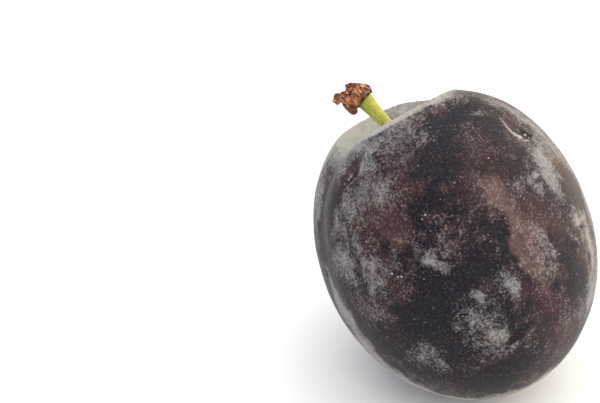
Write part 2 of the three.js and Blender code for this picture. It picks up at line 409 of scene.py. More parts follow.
def fruit_tree(skin):
    tree, node, size = start_tree("Plum shape", FRUIT)
    cube, toward, body = plain_body(node, size)
    x, y, z = node("separate", body).outputs
    sunk = node("*", sunk_end(node, size, x, y), node(">", z, 0.0))
    shaped = node("combine", x, y, node("-", z, sunk))
    pressed = pressed_skin(node, size, toward, body, x, y, z)
    keep = node("-", 1.0, node("/", pressed, node("vector length", shaped)))
    moved = node("move", cube, None, node("vector scale", shaped, keep))

    strayed = node("vector +", toward, push(node, node("noise", body, 1 / STRAY_SIZE, 4.0, 0.6), STRAY))
    for name, direction in (("toward", toward), ("strayed", strayed)):
        moved = node("store vector", moved, None, name, direction)

    leaned = node("transform", moved, MIDDLE, turned.to_euler())
    x, y, z = node("separate", node("position")).outputs
    rested = node("combine", x, y, node("max", z, 0.0))
    end_tree(node, node("move", leaned, None, rested), skin)
    print("fruit tree:", len(tree.nodes), "nodes")
    return tree


# %% [markdown]
# Building from a tree takes the same steps each time: put the tree on an empty object, set the
# inputs by their identifiers, evaluate it, and keep the plain mesh that comes out.

# %% From a node tree to a plain mesh
def grow(name, tree, start=None, **inputs):
    carrier = bpy.data.objects.new(name, start or bpy.data.meshes.new(name + "_start"))
    scene.collection.objects.link(carrier)
    modifier = carrier.modifiers.new("Shape", "NODES")
    modifier.node_group = tree
    for item in tree.interface.items_tree:
        if item.name in inputs:
            modifier[item.identifier] = inputs[item.name]
    evaluated = carrier.evaluated_get(bpy.context.evaluated_depsgraph_get())
    mesh = bpy.data.meshes.new_from_object(evaluated)
    mesh.name = name
    carrier.modifiers.clear()
    carrier.data = mesh
    triangles = sum(len(face.vertices) - 2 for face in mesh.polygons)
    print(name, "has", triangles, "triangles")
    return carrier


# %% [markdown]
# ## The skin
# Plum skin is nearly black where it is ripe, maroon or brown where the red under it shows, and olive in
# places. Over it lies the bloom, a thin, pale dust of wax that fingers and leaves wipe off in patches and
# streaks. So the skin is painted as it grew: dark skin, blush, worn and olive skin, then the wax, and then
# the scars. Some patches also carry painted light and shade: a soft reflection in the tan streak, pale
# edges along the outline in the wax, a highlight on the hollow's rim and shade on its far wall, dark shade
# along the suture, and black shade inside the holes. An image would stretch at the fruit's ends, and noise
# alone would put the patches anywhere. So the patches are lists of places, painted as soft attributes, and
# noise in the material breaks their edges.

# %% Where the wax lies, and where pale edges are painted
# Each mark: down, round, long and short half sizes in millimetres, turn of the long side, strength.
WAX_AND_EDGE_LIGHT_MARKS = [
    # the cheek
    (86, 59, 3, 1.6, 40, 0.8), (80, 55, 2.8, 1.1, 75, 0.7), (86, 64, 1.8, 1.1, 20, 0.1),
    (75, 65, 3.5, 3, 0, 0.15), (109, 83, 3, 1.8, 70, 0.85), (107, 69, 2.6, 1.3, 60, 0.6),
    (116, 64, 4.2, 3.2, 80, 0.5), (126, 70, 3.2, 2.2, 70, 0.75), (130, 57, 3, 1.2, 10, 0.35),
    (110, 66, 4, 2, 10, 0.45), (127, 61, 3, 2, 10, 0.45), (133, 71, 2.4, 1.6, 20, 0.5),
    (50, 26, 3.6, 1.8, 85, 0.8), (66, 12, 4, 1.2, 88, 0.5), (73, 10, 3, 1.2, 88, 0.5),
    (74, 107, 3.4, 2.4, 70, 0.35), (52, 46, 3.4, 2.4, 80, 0.5), (56, 33, 3.4, 2.4, 85, 0.35),
    (69, 27, 3.4, 1.6, 85, 0.55), (79, 30, 2.6, 1.8, 80, 0.6), (79, 42, 2.2, 1.2, 60, 0.5),
    (91, 30, 2, 1.2, 70, 0.5), (123, 35, 3.2, 2, 10, 0.45), (128, 37, 3.4, 2.4, 30, 0.45),
    (137, 85, 4, 3, 50, 0.2),
    # beside the suture, and from (94, -2) to (165, 125) along the lower edge of the outline, where the
    # marks are partly wax and partly a painted reflection of the bright floor
    (35, -27, 3, 2.4, 60, 0.9), (40, -22, 3.5, 2.4, 75, 1), (47, -12, 4.5, 1.5, 82, 1.1),
    (54, -8, 3, 0.9, 88, 0.8), (66, -9, 6, 1, 90, 0.5), (94, -2, 9, 2.2, 90, 1.3),
    (117, -4, 8, 2.8, 90, 1.4), (138, -6, 7, 4.2, 80, 1.4), (154, 4, 6, 3.6, 60, 1.2),
    (163, 30, 4, 2.8, 30, 1.1), (170, 75, 4, 3, 10, 1.1), (165, 125, 4, 3, 0, 0.9),
    (34, 15, 4, 3, 0, 0.6), (33, -14, 3, 2, 60, 0.7), (41, -12, 4, 1.2, 80, 1), (45, 16, 6, 2, 90, 0.3),
    (38, 39, 3.2, 0.9, 90, 0.8), (37, 43, 3, 1.1, 88, 0.75), (50.5, 36, 3, 2, 80, 0.55),
    (62, 17, 6, 1.6, 90, 0.45), (75, 18, 4.2, 2, 80, 0.75), (88, 31, 2.4, 1.6, 60, 0.65),
    (82, 37, 2.5, 1, 20, 0.35), (100, 20, 5, 1.6, 80, 0.2),
    # below the hollow's rim
    (29, 6, 5, 2.4, 0, 0.9), (30, 30, 4, 1.8, 0, 0.9), (32, 50, 4.5, 1.6, 5, 0.7),
    (32.5, 67, 3, 1.2, 0, 0.5), (38, 114, 2.6, 1.4, 60, 0.35), (34, 39, 5, 2, 10, 0.9),
    (37, 66, 6, 1.6, 0, 0.3), (31, 118, 5, 1, 5, 0.5), (27, 112, 5, 1.4, 5, 0.7),
    (28.5, 68, 4, 1.6, 0, 0.6), (39.5, 117, 1.6, 0.6, 60, 0.6),
    # the right cheek, where (43, 141), (113, 137), (130, 138), (143, 134) and the band from (58, 146) to
    # (145, 146) lie along the outline and are partly wax and partly a painted pale edge
    (64, 135, 3.4, 1.2, 75, 0.9), (71, 131, 3.2, 1.8, 80, 0.8), (78, 124, 3.8, 1.9, 80, 0.85),
    (43, 141, 3.4, 1.6, 60, 0.7), (75.5, 113.5, 2.4, 1.4, 60, 0.6), (71, 128, 2.8, 1.8, 70, 1),
    (73, 118, 0.9, 0.7, 0, 0.9), (113, 137, 5.5, 1.7, 90, 1.1), (130, 138, 5, 1.9, 88, 1),
    (143, 134, 4.5, 2, 80, 0.8), (66, 140.5, 4.5, 1.3, 75, 1.1), (98, 136, 2.4, 1.6, 20, 1),
    (105, 124, 2.4, 0.9, 80, 0.6), (99, 106, 3.2, 2.2, 80, 0.4), (107, 106, 3.2, 2.2, 80, 0.25),
    (139, 128, 4.5, 1.4, 60, 0.5), (58, 146, 9, 2.2, 80, 0.9), (75, 150, 8, 2.2, 88, 0.7),
    (100, 153, 9, 3, 90, 0.9), (125, 146, 7, 3, 85, 0.8), (145, 146, 6, 3, 80, 0.45),
    (97.5, 133, 2.8, 1.6, 20, 1.2),
    # the far side
    (70, -60, 12, 6, 70, 0.6), (100, -100, 10, 7, 60, 0.5), (60, -140, 11, 6, 80, 0.6),
    (120, -150, 10, 6, 50, 0.45), (130, -50, 9, 6, 70, 0.5),
]
WORN_RIM = [  # where the wax on the hollow's rim is worn thinner
    (29, 14, 3, 1.6, 0, 1), (29, -8, 3, 1.8, 0, 0.6),
]
print(len(WAX_AND_EDGE_LIGHT_MARKS), "patches of wax")

# %% Where the wax is rubbed off, where shade is painted, and what colour the skin is there
# rubbed marks wipe the wax off and show the darkest skin; some of them are painted shade
RUBBED_AND_SHADE_MARKS = [  # where the wax is wiped off and the darkest skin shows
    (96, 70, 4, 2.3, 140, 1), (98, 77, 2.2, 1.6, 0, 0.8), (61, 68, 2.8, 2.6, 0, 0.7),
    (69, 74, 3.2, 2.4, 60, 0.35), (66, 61, 3, 1.6, 70, 0.5), (34, 101, 4.2, 2.2, -6, 0.9),
    (103, 50, 4, 3.4, 30, 0.8), (112, 45, 4, 3.2, 30, 0.8), (104, 38, 4, 2.4, 60, 0.6),
    (130, 53, 4, 2.2, 10, 0.7), (146, 60, 6, 3.6, 10, 0.9), (117, 121, 1.9, 1.3, 70, 1),
    (99, 115, 2.6, 1.6, 80, 0.5), (83, 110, 2.6, 1.6, 40, 0.6), (37, 31, 2.2, 1.5, -30, 0.9),
    # the marks from (43, 2) to (58, 10) make the dark band along the suture: partly rubbed skin, partly
    # painted shade such as a close neighbour on the left would cast
    (41.5, 26, 2.8, 1.8, -34, 0.6), (43, 2, 2.6, 0.9, 75, 0.9), (49, -1, 3.6, 1.4, 85, 0.9),
    (58, -1, 4, 1.4, 90, 0.8), (66, -1, 4, 1.2, 90, 0.7), (76, 1, 4.5, 1.4, 85, 0.6),
    (85, 8, 4, 0.9, 80, 0.8), (98, 9, 8, 0.8, 90, 0.9), (116, 7, 6, 0.8, 92, 1), (49, 10, 4, 2, 88, 1),
    (58, 10, 4, 1, 88, 0.7), (112, 14, 3, 1.4, 70, 0.8), (110, 81.5, 7, 0.9, 101, 0.6),
    (113, 90.5, 6, 0.8, 91, 0.5), (43, 89, 4, 2.4, 0, 0.25), (54, 81, 4, 2.4, 20, 0.5),
    (64, 104, 3, 2.4, 60, 0.4), (79.5, 54, 2.4, 2.2, 0, 0.6), (110, 31, 5, 3, 20, 0.6),
    (97, 33, 2.6, 2.4, 40, 0.4), (130, 76, 2.8, 0.8, 153, 0.9), (54, 130, 2.4, 1.1, 72, 0.8),
    (60, 101, 3.4, 2.4, 60, 0.4), (93, 90, 3.4, 1.8, 88, 0.9), (88, 138, 4, 1.6, 85, 0.5),
    (115, 120, 5, 3, 80, 1.1), (152, 142, 5.5, 3.4, 60, 1.1), (93, 61, 2.4, 1.2, 20, 0.4),
    (87, 68, 2, 1.6, 20, 0.4), (78, 67, 2.4, 1.6, 40, 0.15), (133, 96, 4, 3, 60, 0.4),
    (48, 84, 5, 2, 10, 0.5), (54, 113.5, 4.8, 2.2, 90, 0.5), (90, -75, 5, 3, 60, 0.8),
    (110, -130, 5, 3, 30, 0.7), (75, -120, 5, 3, 70, 0.7),
]
BLUSH_MARKS = [  # maroon and brown skin
    (27, 95, 5, 1.6, 0, 0.7), (41, 27, 3.2, 2.2, -34, 1.1), (37, 31, 2.4, 1.6, -30, 1),
    (56, 131, 2.4, 1.4, 70, 0.9), (60, 40, 6, 4.5, 80, 0.75), (72, 48, 5, 4, 80, 0.5),
    (53, 55, 4, 4, 0, 0.6), (52, 98, 6, 3, 10, 0.3), (62, 102, 5, 3.4, 40, 0.3),
    (62, 86, 4, 3, 70, 0.4), (90, 103, 6, 4, 80, 0.7), (106, 103, 5, 4, 80, 0.4),
    (121, 96, 5, 4, 70, 0.5), (50, 131, 3.2, 1.5, 75, 0.9), (98, 116, 3.2, 1.5, 84, 0.5),
    (83.5, 110, 2.2, 1.8, 80, 0.5), (86, 139, 6, 1.8, 84, 0.8), (110, 130, 5, 3, 60, 0.7),
    (135, 105, 6, 4, 60, 0.3), (85, 36, 4, 3, 80, 0.5), (70, -100, 8, 5, 60, 0.7),
    (110, -60, 7, 5, 40, 0.6), (90, -160, 8, 5, 80, 0.6),
]
# worn, browned skin whose streak down the cheek is also a painted soft reflection
TAN_AND_REFLECTION_MARKS = [  # worn, sun-browned skin with a dull shine
    (71, 94, 3.2, 1.5, 75, 0.6), (78, 97, 3.4, 1.5, 80, 0.65), (86, 97, 3.2, 1.4, 90, 0.6),
    (94, 96, 3.2, 1.3, 88, 0.5), (102, 96, 3.2, 1.3, 88, 0.4), (110, 97, 3, 1.2, 88, 0.3),
    (68, 46, 4, 2.4, 80, 0.18), (140, 105, 5, 3, 50, 0.12),
]
# olive patches listed along the right cheek
OLIVE_MARKS = [  # skin that the sun has turned olive
    (38, 140, 5, 3, 60, 0.5), (56, 122, 6, 3, 75, 0.25), (64, 142, 6, 2.4, 80, 0.8),
    (76, 139, 6, 3, 85, 1), (89, 137, 6, 2.6, 88, 0.9), (104, 134, 6, 2.6, 88, 0.6),
    (118, 125, 6, 4, 80, 0.25),
]
print(len(RUBBED_AND_SHADE_MARKS), "rubbed places")

# %% Where the skin is torn
SCAR_MARKS = [  # corky, torn edges
    (41.6, 26.2, 0.9, 0.3, -52, 0.65), (43.4, 28.8, 1.2, 0.18, -38, 0.7),
    (40.9, 35.4, 1.6, 0.2, 124, 0.7), (48.5, 126, 1.4, 0.16, 118, 0.9),
    (52.5, 123.8, 1.3, 0.18, 95, 0.9), (56, 124.2, 1.1, 0.28, 70, 1.1), (57.3, 126, 0.5, 0.4, 45, 1.2),
    (60, 128.2, 1.1, 0.22, 15, 0.9), (56.2, 128.6, 0.3, 0.35, 0, 1), (57.4, 133, 0.3, 0.3, 0, 1),
    (54, 131.5, 0.3, 0.2, 60, 0.8), (59.3, 132.8, 0.3, 0.3, 0, 0.9), (32, -38, 1.1, 0.6, 0, 1),
]
# holes and cuts are painted near-black, the shade inside them
HOLE_SHADE_MARKS = [  # where the skin is broken through
    (52.6, 127, 0.8, 0.45, 75, 1.1), (54.2, 127.8, 0.8, 0.5, 70, 1.15),
    (56.2, 128, 0.9, 0.55, 60, 1.15), (57, 131, 0.8, 0.55, 50, 1.05), (56, 133.4, 0.8, 0.55, 60, 1),
    (59.2, 131.2, 0.8, 0.6, 30, 1.1), (59.5, 128.2, 0.8, 0.5, 20, 1.1),
    (58.8, 134.2, 0.9, 0.6, 40, 1.1), (102.6, 133.5, 2.8, 0.35, 16, 0.9),
    (41.2, 29.8, 0.7, 0.3, -50, 0.85), (42.4, 31.4, 0.6, 0.3, -40, 0.85),
    (44.2, 29.4, 0.9, 0.26, -45, 0.85), (45, 27.4, 0.6, 0.24, -45, 0.8),
    (42.9, 26.2, 0.6, 0.3, -50, 0.8), (130, 76, 2.2, 0.35, 153, 0.9),
]
FLECKS = [  # the brightest breathing pores: down, round and radius in millimetres
    (84.5, 40, 0.24), (86.5, 42, 0.2), (87, 43.5, 0.22), (69, 33, 0.18), (67.5, 63, 0.2),
    (68.5, 61, 0.14), (58, 101, 0.16), (88, 83, 0.12), (73, 36, 0.13), (91, 52, 0.12),
]
print(len(SCAR_MARKS), "corky marks and", len(HOLE_SHADE_MARKS), "holes")

# %% [markdown]
# The material reads the painted attributes. Its patterns are laid in the fruit's own frame, so that
# the streaks of wiped wax run from end to end. The wax's grains are far too fine to see, so its grit
# is drawn as coarse as the clumps of dust that show.

# %% Colours and patterns of the skin
SKIN_COLOURS = {
    # the tan colour also paints a soft reflection down the cheek
    "ripe": "#100c15", "maroon": "#331e21", "brown": "#523834", "tan_and_reflection": "#755c52",
    # the wax colour also paints the pale edges along the outline
    "olive_skin": "#42352a", "wax_and_edge_light": "#979493", "olive_wax": "#958c7e", "thick wax": "#ada99e",
    # the hole colour is the painted shade inside holes
    "pore": "#b2aeac", "cork": "#aba59d", "hole": "#0a0707", "dust's light": "#ece4d2",
}
WANDER_SIZE, WANDER = 5 * MM, 4 * MM  # how far apart a streak's bends are, and how far they go
STREAK_RING = 22 * MM  # the streaks are laid out round a ring of this radius
STREAK_SLOWNESS = 0.14  # how fast they change along the fruit, beside how fast they change round it


def skin_patterns(node, place):
    """The noises that break up the skin. The larger ones wander, so that streaks are not ruled."""
    drift = push(node, node("noise", place, 1 / WANDER_SIZE, 2.0, 0.5), WANDER)
    wandering = node("vector +", place, drift)
    level = node("vector *", wandering, (1.0, 1.0, 0.0))
    ring = node("vector scale", node("vector normalize", level), STREAK_RING)
    along = node("vector *", wandering, (0.0, 0.0, STREAK_SLOWNESS))
    drawn_out = node("vector +", ring, along)
    return {
        "patches": node("noise", wandering, 1 / (6 * MM), 3.0, 0.55),
        "blotches": node("noise", wandering, 1 / (2.2 * MM), 3.0, 0.6),
        "streaks": node("noise", drawn_out, 1 / (0.6 * MM), 3.0, 0.6),
        "grit": node("noise", place, 1 / (0.42 * MM), 2.0, 0.65),
        "pebbles": node("ShaderNodeTexVoronoi", place, 1 / (0.5 * MM), 0.0, 0.5),
    }


def broken_up(node, value, patterns, strengths):
    """A painted value with noises added. Each averages a half, so it adds half its strength."""
    for name, strength in strengths.items():
        value = node("*+", patterns[name], strength, value)
    return value


# %% [markdown]
# The skin under the wax goes from ripe through maroon to brown as its red grows, with tan where it is
# worn, which also carries a painted soft reflection down the cheek, and olive in the places listed for it.

# %% Skin under the wax
RED_NOISE = {"patches": 1.4, "blotches": 1.4, "grit": 0.6}
RED_STEPS = (("maroon", 1.35, 2.05), ("brown", 2.05, 3.0))  # where each colour starts and is full
# the painted shade along the suture is drawn the same way, as the darkest skin
RUBBED_RED = -0.8  # rubbed skin is ripe, and hides the red
EVEN_TAN_AND_REFLECTION, STREAKED_TAN_AND_REFLECTION = 0.35, 0.9
OLIVE_SHARE = 0.7


def bare_skin(node, painted, patterns, colour):
    red = node("*+", painted["rubbed_and_shade"], RUBBED_RED, painted["blush"])
    red = broken_up(node, red, patterns, RED_NOISE)
    skin = colour["ripe"]
    for name, start, full in RED_STEPS:
        share = node("smooth range", red, start, full, 0.0, 1.0)
        skin = node("mix", share, skin, colour[name])
    # the tan streak is worn skin and a painted soft reflection together
    worn_and_reflection = node("*", node("*+", patterns["streaks"], STREAKED_TAN_AND_REFLECTION, EVEN_TAN_AND_REFLECTION), painted["tan_and_reflection"])
    skin = node("mix", worn_and_reflection, skin, colour["tan_and_reflection"])
    return node("mix", node("*", painted["olive_skin"], OLIVE_SHARE), skin, colour["olive_skin"])


# %% [markdown]
# The wax starts as the painted patches and ends as dust with ragged, streaked and gritty edges. Along the
# outline some patches are also a painted reflection of the bright floor and room. It is a little warmer
# over the olive skin. A thicker, whole layer lies in the hollow, with a painted highlight along its near
# rim and painted shade on its far wall.

# %% Wax
WAX_NOISE = {"patches": 0.9, "blotches": 0.9, "streaks": 0.75, "grit": 1.9}
WAX_STEP, WAX_MOST = (2.03, 3.45), 0.85
THICK_NOISE = {"blotches": 0.9, "streaks": 0.6, "grit": 0.4}
THICK_STEP, THICK_MOST = (1.0, 1.95), 0.92
# rubbed places and painted shade both take the wax away
RUBBED_WAX, RUBBED_THICK = -0.75, -0.6
WARMED_SHARE = 0.6
PEBBLED = 0.1, 0.6, 0.2, -0.17  # wax is thicker in the middle of a pebble and thinner at its edge
SPECKED = 0.5, 0.75, 0.0, 0.09  # bare skin keeps a few specks of dust


def waxed(node, skin, painted, patterns, colour):
    """The skin under its wax, and how much of both kinds of wax there is. The hollow's kind also holds a
    painted highlight on its rim and painted shade on its far wall.
    """
    wax_and_edge_light = node("*+", painted["rubbed_and_shade"], RUBBED_WAX, painted["wax_and_edge_light"])
    wax_and_edge_light = broken_up(node, wax_and_edge_light, patterns, WAX_NOISE)
    wax_and_edge_light = node("+", wax_and_edge_light, node("range", patterns["pebbles"], *PEBBLED))
    dust = node("smooth range", wax_and_edge_light, *WAX_STEP, 0.0, WAX_MOST)
    dust = node("max", dust, node("range", patterns["grit"], *SPECKED))
    warmed = node("*", painted["olive_skin"], WARMED_SHARE)
    skin = node("mix", dust, skin, node("mix", warmed, colour["wax_and_edge_light"], colour["olive_wax"]))

    hollow_wax_and_light = node("*+", painted["rubbed_and_shade"], RUBBED_THICK, painted["hollow"])
    hollow_wax_and_light = broken_up(node, hollow_wax_and_light, patterns, THICK_NOISE)
    hollow_wax_and_light = node("smooth range", hollow_wax_and_light, *THICK_STEP, 0.0, THICK_MOST)
    return node("mix", hollow_wax_and_light, skin, colour["thick wax"]), dust, hollow_wax_and_light


# %% [markdown]
# Breathing pores are pale dots of many sizes, in about half of the pattern's cells. A few bright
# ones have places of their own.

# %% Breathing pores
PORE_SPACING = 1.15 * MM
PORE_SIZES = 0.02, 0.17  # radii from the least lucky cell to the luckiest, in spacings
PORE_STRENGTHS = 0.05, 0.42
PORE_EDGE = 0.05  # how soft a pore's edge is, in spacings


def pored(node, skin, place, toward, colour):
    pores = node("ShaderNodeTexVoronoi", place, 1 / PORE_SPACING, 0.0, 0.5)
    luck = node("ShaderNodeSeparateColor", pores.outputs["Color"]).outputs
    inside = node("-", node("range", luck[0], 0.4, 1.0, *PORE_SIZES), pores)
    dot = node("range", inside, 0.0, PORE_EDGE, 0.0, 1.0)
    dot = node("*", dot, node("range", luck[1], 0.0, 1.0, *PORE_STRENGTHS))
    for down, round_, radius in FLECKS:
        away = node("vector distance", toward, tuple(skin_frame(down, round_)[0]))
        share = radius * MM / MEAN_RADIUS
        dot = node("max", dot, node("range", away, share, share * 0.5, 0.0, 1.0))
    return node("mix", dot, skin, colour["pore"])


# %% [markdown]
# Scars have holes with jagged sides, painted black as the shade inside them, and pale torn skin that
# stands over them. Both are finer than the mesh, so the material lays a small oval of its own for each
# one.

# %% Scars
CRUMB_SIZE = 0.3 * MM  # how jagged their sides are
MARK_THICKNESS = 0.1  # keeps a mark off the far side of the fruit, as a share of the fruit's radius


def scarred(node, skin, place, toward, colour):
    """The skin with its scars, and where its holes are."""
    crumbs = node("noise", place, 1 / CRUMB_SIZE, 2.0, 0.6)
    amounts = {}
    for name, marks, jagged, step, most in (
            ("hole", HOLE_SHADE_MARKS, 2.6, (1.9, 2.05), 1.0),
            ("cork", SCAR_MARKS, 2.2, (1.45, 1.9), 0.8)):
        total = 0.0
        for down, round_, long_half, short_half, turn, strength in marks:
            middle, long_side, short_side = skin_frame(down, round_, turn)
            lie = Matrix((long_side, short_side, -middle)).transposed().to_euler()
            halves = (long_half * MM / MEAN_RADIUS, short_half * MM / MEAN_RADIUS, MARK_THICKNESS)
            there = node("mapping", toward, tuple(middle), lie, halves)
            total = node("*+", bell(node, there), strength, total)
        marked = node("*+", crumbs, jagged, total)
        amounts[name] = node("range", marked, *step, 0.0, most)
        skin = node("mix", amounts[name], skin, colour[name])
    return skin, amounts["hole"]


# %% [markdown]
# Together they make a dull-shining skin under a matt dust. The wax takes the shine away, so the
# roughness follows it. So does sheen, the soft light that fine dust throws back at the edges of a
# form, which is what makes a plum's outline look pale.

# %% Skin material
SHINE = 0.45, 0.75  # the roughness of bare skin and of dusty skin
SHEEN = 0.03, 0.42
# less sheen where the skin is olive
OLIVE_SHEEN = -0.35  # sunned skin holds less dust
GRIT_SHEEN, GRIT_RELIEF, HOLE_RELIEF = 0.8, 0.6, -2.0


def plum_skin():
    """Ripe plum skin under wax bloom: a dark, dull-shining cuticle with a matt dust on it."""
    material, node, colour = start_material("Plum skin with wax bloom", SKIN_COLOURS)
    painted = {name: node("attribute", attribute_name=name).outputs["Fac"]
               for name in ("wax_and_edge_light", "rubbed_and_shade", "blush", "tan_and_reflection", "olive_skin", "hollow")}
    place = node("mapping", node("ShaderNodeTexCoord").outputs["Object"], MIDDLE, turned.to_euler())
    toward = node("vector normalize", place)
    patterns = skin_patterns(node, place)
    skin = bare_skin(node, painted, patterns, colour)
    skin, dust, hollow_wax_and_light = waxed(node, skin, painted, patterns, colour)
    skin = pored(node, skin, place, toward, colour)
    skin, bored = scarred(node, skin, place, toward, colour)

    dusty = node("*+", patterns["grit"], GRIT_SHEEN, node("max", dust, hollow_wax_and_light))
    dusty = node("*+", painted["olive_skin"], OLIVE_SHEEN, dusty)
    relief = node("*+", patterns["grit"], GRIT_RELIEF, patterns["blotches"])
    relief = node("*+", bored, HOLE_RELIEF, relief)
    bump = node("ShaderNodeBump", named={"Height": relief, "Strength": 0.4, "Distance": 0.08 * MM})
    end_material(node, Base_Color=skin, Roughness=node("range", dust, 0.0, 0.6, *SHINE), IOR=1.4,
                 Specular_IOR_Level=0.23, Sheen_Weight=node("range", dusty, 0.25, 0.9, *SHEEN),
                 Sheen_Roughness=0.18, Sheen_Tint=colour["dust's light"], Normal=bump)
    print("skin material:", len(material.node_tree.nodes), "nodes")
    return material


# %% Grow the fruit and paint its marks
MARK_EDGE = 1.4  # above 1, a mark is flatter inside and steeper at its edge than a bell


def cover(toward, marks):
    """How much of each mark lies over each direction, from 0 to 1."""
    total = np.zeros(len(toward))
    for *place, strength in marks:
        middle, long_axis, short_axis = mark_axes(*place)
        u, v = (toward - middle) @ long_axis, (toward - middle) @ short_axis
        facing = toward @ middle > 0
        total = np.maximum(total, strength * np.exp(-(u ** 2 + v ** 2) ** MARK_EDGE) * facing)
    return total


def paint(mesh, name, values):
    layer = mesh.attributes.new(name, "FLOAT", "POINT")
    layer.data.foreach_set("value", values.astype(np.float32))
    print("painted", name, "over", f"{(values > 0.3).mean():.0%}", "of the points")


def directions(mesh, name):
    """The directions that the tree kept on the mesh, which are then taken off it."""
    values = np.empty(len(mesh.vertices) * 3, np.float32)
    mesh.attributes[name].data.foreach_get("vector", values)
    mesh.attributes.remove(mesh.attributes[name])
    return values.reshape(-1, 3).astype(float)


fruit = grow("plum_fruit", fruit_tree(plum_skin()), **FRUIT)
toward, strayed = directions(fruit.data, "toward"), directions(fruit.data, "strayed")
for name, marks in (("wax_and_edge_light", WAX_AND_EDGE_LIGHT_MARKS), ("rubbed_and_shade", RUBBED_AND_SHADE_MARKS), ("blush", BLUSH_MARKS),
                    ("tan_and_reflection", TAN_AND_REFLECTION_MARKS), ("olive_skin", OLIVE_MARKS)):
    paint(fruit.data, name, cover(strayed, marks))

# %% [markdown]
# The hollow is never touched, so its wax is whole up to the rim. It ends crisply above the near cheek, and
# that crisp edge is also a painted highlight along the rim. It fades out slowly past the rim towards the
# suture. On the hollow's far wall it is painted thinner, which is painted shade.

# %% Wax in the hollow
RIM_ALONG, RIM_ACROSS = 0.45, 0.425  # the rim, as the sine of the angle down from the stalk
RIM_OFFSET = 0.02
# the crisp edge is also a painted highlight along the near rim
CRISP_ROUND = 65  # where the wax ends most crisply
SLOW_FADE, CRISPER = 0.6, 0.53  # how wide its edge is elsewhere, and how much narrower there
FADE_PAST_RIM = 0.8  # the share of the edge that lies past the rim
# the far wall gets less wax, as painted shade
FAR_WALL_SHADE_SHARE = 0.62  # how much wax is on the far wall
WORN_SHARE = 0.7  # how much of it is gone from the worn places on the rim

rim = np.hypot((toward[:, 0] - RIM_OFFSET) / RIM_ALONG, toward[:, 1] / RIM_ACROSS)
round_ = np.degrees(np.arctan2(toward[:, 1], toward[:, 0]))
crisp = np.clip((np.cos(np.radians(round_ - CRISP_ROUND)) + 0.4) / 1.2, 0, 1)
fade = SLOW_FADE - CRISPER * crisp
whole = np.clip((1.02 + fade * FADE_PAST_RIM - rim) / fade, 0, 1) * (toward[:, 2] > 0)
toward_lit_wall = np.clip(toward[:, 0] / RIM_ALONG, -1, 1)
whole *= FAR_WALL_SHADE_SHARE + (1 - FAR_WALL_SHADE_SHARE) * np.clip(toward_lit_wall + 0.25, 0, 1)
whole *= 1 - WORN_SHARE * cover(strayed, WORN_RIM)
paint(fruit.data, "hollow", whole)
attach(fruit, "root")
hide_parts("fruit")

# %% [markdown]
# ## The stalk
# A plum's stalk is a firm green cylinder with a waist, flared to a collar at its free end, and with
# faint ridges where fibres run. It follows a rule too: a cylinder whose radius changes along it. A
# curve with a bevel would also do, but a rule gives the ridges, the flare and the bend a size each.

# %% Sizes of the stalk
STALK = {
    "Length": 12.4 * MM,
    "Waist radius": 0.84 * MM,
    "End flare": 0.7 * MM,
    "End flare lateness": 2.3,
    "Foot flare": 0.48 * MM,
    "Foot flare lateness": 6.0,
    "Bow": 0.35 * MM,
    "Ridge depth": 0.07 * MM,
    "Ridge closeness": 3.6,
}
STALK_FOOT = Vector((-0.5, 0, 16.9)) * MM
STALK_TOWARD = Vector((0.353, -0.126, 0.927)).normalized()
ROUND_POINTS, LONG_POINTS, END_RINGS = 96, 130, 8


def stalk_frame(distance):
    """The frame on the stalk's line, this far from its foot: z along the stalk, x towards the suture."""
    side = STALK_TOWARD.cross(Vector((1, 0, 0))).normalized()
    across = side.cross(STALK_TOWARD)
    axes = Matrix((across, side, STALK_TOWARD)).transposed().to_4x4()
    return pose @ Matrix.Translation(STALK_FOOT + STALK_TOWARD * distance) @ axes


print("stalk end at, mm:", [round(v / MM, 1) for v in stalk_frame(STALK["Length"]).translation])


# %% Node tree for the stalk
def stalk_tree(rind):
    tree, node, size = start_tree("Stalk shape", STALK)
    tube = node("GeometryNodeMeshCylinder", ROUND_POINTS, LONG_POINTS, END_RINGS, 1.0, 1.0)
    x, y, z = node("separate", node("position")).outputs
    share = node("+", z, 0.5)
    left = node("-", 1.0, share)

    # The radius: a waist, a flare at the free end that comes late, and one at the foot.
    flare = node("**", share, size["End flare lateness"])
    radius = node("*+", flare, size["End flare"], size["Waist radius"])
    foot = node("**", left, size["Foot flare lateness"])
    radius = node("*+", foot, size["Foot flare"], radius)

    # Ridges: noise that changes round the stalk but hardly along it.
    drawn = node("combine", x, y, node("*", z, 1.2))
    ridges = node("noise", drawn, size["Ridge closeness"], 2.0, 0.5)
    radius = node("*+", node("+", ridges, -0.5), size["Ridge depth"], radius)
    wide = node("vector scale", node("combine", x, y), radius)

    # The bend is greatest halfway along.
    bend = node("*", node("*", node("*", share, left), 4.0), size["Bow"])
    bent = node("vector +", wide, node("combine", bend, None, node("*", share, size["Length"])))

    # The fibres are noted while the stalk is still straight.
    noted = node("store vector", tube, None, "fibre", drawn)
    noted = node("store", noted, None, "share", share)
    moved = node("move", noted, None, bent)
    place = stalk_frame(0)
    end_tree(node, node("transform", moved, place.translation, place.to_euler()), rind)
    return tree


# %% [markdown]
# The stalk is fresh: yellow-green, with lighter flecks and darker streaks along its fibres, and a
# satin surface. The fibre pattern is read from an attribute stored on the mesh, so it follows the
# bend.

# %% Stalk material
STALK_COLOURS = {
    "streak": "#98992a", "rind": "#c0bc48", "fleck": "#ddd67c", "free end": "#91971c",
    "foot": "#6b5a31",
}


